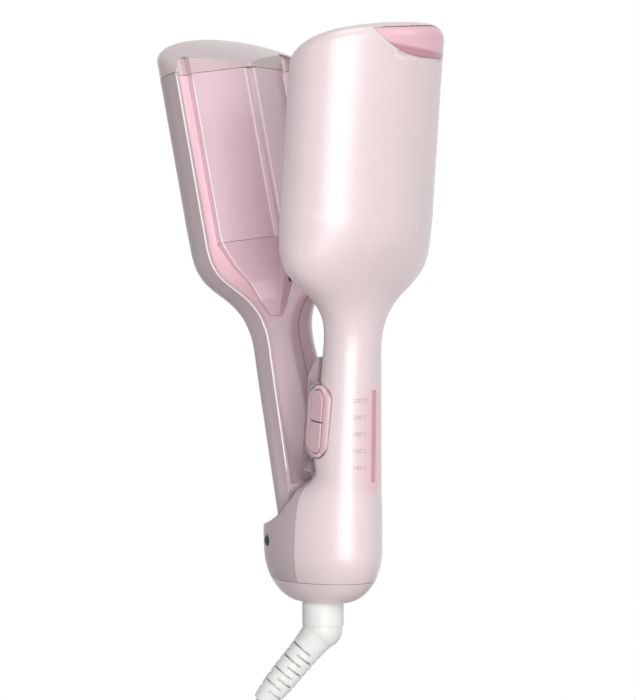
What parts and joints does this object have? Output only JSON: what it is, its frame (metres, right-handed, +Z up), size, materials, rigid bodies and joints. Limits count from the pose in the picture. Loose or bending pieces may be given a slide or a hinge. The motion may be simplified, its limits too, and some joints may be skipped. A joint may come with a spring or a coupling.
{
  "type": "hair waver",
  "caption": "Hair waver with two wide heated arms that nest in a V, shown open, with two side buttons, an indicator strip and a swivel cord.",
  "frame": {"origin": "on the axis of the cord's swivel, level with the middle of the hand's grip", "axes": "+Z up along the handle to the tips, +X across the arms and along the hinge pin, -Y out of the main arm's face"},
  "size_m": [0.1287, 0.1563, 0.5152],
  "materials": {
    "shell_white": "satin",
    "shell_back": "satin",
    "inlay_pink": "satin",
    "trim_pink": "satin",
    "plate_pink": "satin",
    "cap_pink": "satin",
    "bezel_pink": "satin",
    "button_mauve": "satin",
    "lens_pink": "gloss",
    "cord_white": "matte",
    "relief_white": "matte",
    "steel": "satin",
    "brass": "satin",
    "aluminium": "satin",
    "ceramic": "matte",
    "board": "satin",
    "dark": "matte",
    "bush": "satin"
  },
  "bodies": {
    "handle": {"main_outer_shell": "shell_white", "main_inner_shell": "shell_back", "bottom_cap": "shell_white", "tip_inlay": "inlay_pink", "main_plate_frame": "trim_pink", "main_plate": "plate_pink", "main_tip_cap": "cap_pink", "main_lower_cap": "trim_pink", "main_heater": "ceramic", "main_heater_clip": "steel", "main_thermistor": "dark", "thermal_fuse": "aluminium", "control_board": "board", "indicator_lens": "lens_pink", "indicator_leds": "ceramic", "button_bezel": "bezel_pink", "button_board": "board", "tact_switches": "dark", "hinge_pin": "steel", "torsion_spring": "steel", "swivel_retainer": "dark", "housing_screws": "steel"},
    "clamp_arm": {"clamp_outer_shell": "shell_back", "clamp_inner_shell": "trim_pink", "clamp_plate": "plate_pink", "clamp_tip_cap": "cap_pink", "clamp_lower_cap": "trim_pink", "prow_screw": "steel", "clamp_heater": "ceramic", "clamp_heater_clip": "steel", "clamp_thermistor": "dark", "hinge_bushes": "bush"},
    "plus": {"plus_button": "button_mauve"},
    "minus": {"minus_button": "button_mauve"},
    "cord": {"swivel_collar": "cord_white", "bend_relief": "relief_white", "cord_lead": "cord_white", "cord_hank": "cord_white", "cord_tail": "cord_white", "hank_tie": "dark", "plug_body": "cord_white", "plug_pins": "brass"}
  },
  "joints": [
    {"name": "clamp_hinge", "type": "hinge", "parent": "handle", "child": "clamp_arm", "pos_m": [0, 0.002, -0.045], "axis": [1, 0, 0], "range_deg": [0, 21.3], "stiffness_Nm_per_rad": 0.25, "springref_deg": -17.19},
    {"name": "plus_press", "type": "slide", "parent": "handle", "child": "plus", "axis": [1, 0, 0], "range_m": [0, 0.0008], "stiffness_N_per_m": 300},
    {"name": "minus_press", "type": "slide", "parent": "handle", "child": "minus", "axis": [1, 0, 0], "range_m": [0, 0.0008], "stiffness_N_per_m": 300},
    {"name": "cord_swivel", "type": "hinge", "parent": "handle", "child": "cord", "pos_m": [0, 0, -0.085], "axis": [0, 0, 1], "continuous": true}
  ]
}
